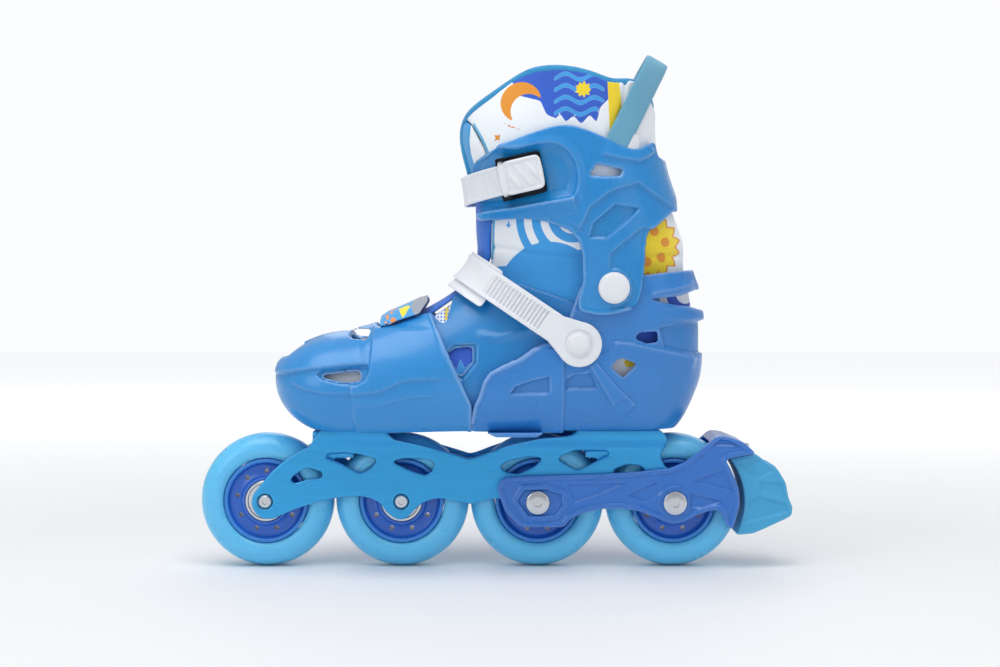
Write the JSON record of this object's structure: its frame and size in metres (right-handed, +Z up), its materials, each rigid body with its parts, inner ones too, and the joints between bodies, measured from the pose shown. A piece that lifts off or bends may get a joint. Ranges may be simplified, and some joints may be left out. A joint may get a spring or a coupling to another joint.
{
  "type": "inline skate",
  "caption": "Child's size-adjustable inline skate, left foot: hinged cuff boot with ratchet straps on a frame of four wheels with a heel brake.",
  "frame": {"origin": "middle of the bounding box in X and Y, on the ground the wheels stand on", "axes": "+X towards the heel and the brake, toe towards -X; +Y towards the inner side of the left foot, buckle side towards -Y; +Z up"},
  "size_m": [0.319, 0.1044, 0.2761],
  "materials": {
    "toe_plastic": "moulded plastic, satin to gloss, sky blue",
    "boot_plastic": "moulded plastic, satin to gloss, mid blue",
    "heel_plastic": "moulded plastic, satin, violet blue",
    "white_plastic": "moulded plastic, satin white",
    "liner_fabric": "padded knitted fabric with a printed pattern",
    "tongue_fabric": "padded fabric, blue, edge bound",
    "insole_foam": "foam with a cloth face",
    "webbing": "woven polyester webbing, teal blue",
    "printed_strap": "printed hook and loop strap",
    "frame_metal": "anodised, satin, fine grain",
    "tyre": "cast polyurethane, pale translucent blue",
    "hub_plastic": "moulded plastic, royal blue",
    "steel": "plated steel",
    "brake_plastic": "moulded plastic, glossy royal blue",
    "brake_rubber": "moulded rubber, teal blue"
  },
  "bodies": {
    "boot": {"frame_chassis": "frame_metal", "frame_bolt_front": "steel", "frame_bolt_rear": "steel", "brake_arm": "brake_plastic", "brake_pad": "brake_rubber", "brake_pad_screw": "steel", "heel_shell": "heel_plastic", "instep_shell": "boot_plastic", "cuff_pivot_outer": "white_plastic", "cuff_pivot_inner": "white_plastic", "liner_lower": "liner_fabric", "tongue_lower": "tongue_fabric", "insole": "insole_foam", "ankle_strap": "white_plastic", "instep_shield": "white_plastic", "ankle_strap_rivet": "white_plastic", "ankle_buckle_base": "steel", "axle_1": "steel", "axle_2": "steel", "axle_3": "steel", "axle_4": "steel", "spacer_1": "steel", "spacer_2": "steel", "spacer_3": "steel", "spacer_4": "steel"},
    "toe": {"toe_shell": "toe_plastic", "toe_strap": "printed_strap"},
    "cuff": {"cuff": "boot_plastic", "liner_collar": "liner_fabric", "tongue_upper": "tongue_fabric", "pull_loop": "webbing", "cuff_buckle_base": "steel", "cuff_strap": "white_plastic", "cuff_strap_rivet": "steel"},
    "cuff_lever": {"cuff_buckle_lever": "white_plastic"},
    "ankle_lever": {"ankle_buckle_lever": "white_plastic"},
    "size_button": {"size_button": "heel_plastic"},
    "wheel_1": {"tyre_1": "tyre", "hub_1": "hub_plastic", "bearing_1_outer": "steel", "bearing_1_inner": "steel"},
    "wheel_2": {"tyre_2": "tyre", "hub_2": "hub_plastic", "bearing_2_outer": "steel", "bearing_2_inner": "steel"},
    "wheel_3": {"tyre_3": "tyre", "hub_3": "hub_plastic", "bearing_3_outer": "steel", "bearing_3_inner": "steel"},
    "wheel_4": {"tyre_4": "tyre", "hub_4": "hub_plastic", "bearing_4_outer": "steel", "bearing_4_inner": "steel"}
  },
  "joints": [
    {"name": "wheel_1_spin", "type": "hinge", "parent": "boot", "child": "wheel_1", "pos_m": [-0.1235, 0.00142, 0.036], "axis": [0, 1, 0], "continuous": true},
    {"name": "wheel_2_spin", "type": "hinge", "parent": "boot", "child": "wheel_2", "pos_m": [-0.0505, 0.00142, 0.036], "axis": [0, 1, 0], "continuous": true},
    {"name": "wheel_3_spin", "type": "hinge", "parent": "boot", "child": "wheel_3", "pos_m": [0.0225, 0.00142, 0.036], "axis": [0, 1, 0], "continuous": true},
    {"name": "wheel_4_spin", "type": "hinge", "parent": "boot", "child": "wheel_4", "pos_m": [0.0955, 0.00142, 0.036], "axis": [0, 1, 0], "continuous": true},
    {"name": "cuff_flex", "type": "hinge", "parent": "boot", "child": "cuff", "pos_m": [0.0613, 0.00142, 0.1505], "axis": [0, -1, 0], "range_deg": [-2, 10], "stiffness_Nm_per_rad": 2},
    {"name": "toe_extension", "type": "slide", "parent": "boot", "child": "toe", "axis": [-1, 0, 0], "range_m": [0, 0.018]},
    {"name": "cuff_buckle_open", "type": "hinge", "parent": "cuff", "child": "cuff_lever", "pos_m": [0.0018, -0.04344, 0.21724], "axis": [0.2037, 0.1337, -0.9699], "range_deg": [0, 55], "stiffness_Nm_per_rad": 0.01},
    {"name": "ankle_buckle_open", "type": "hinge", "parent": "boot", "child": "ankle_lever", "pos_m": [0.03626, 0.04571, 0.13944], "axis": [0.5566, -0.0757, 0.8273], "range_deg": [0, 55], "stiffness_Nm_per_rad": 0.01},
    {"name": "size_button_press", "type": "slide", "parent": "boot", "child": "size_button", "axis": [0, 1, 0], "range_m": [0, 0.003], "stiffness_N_per_m": 300}
  ]
}
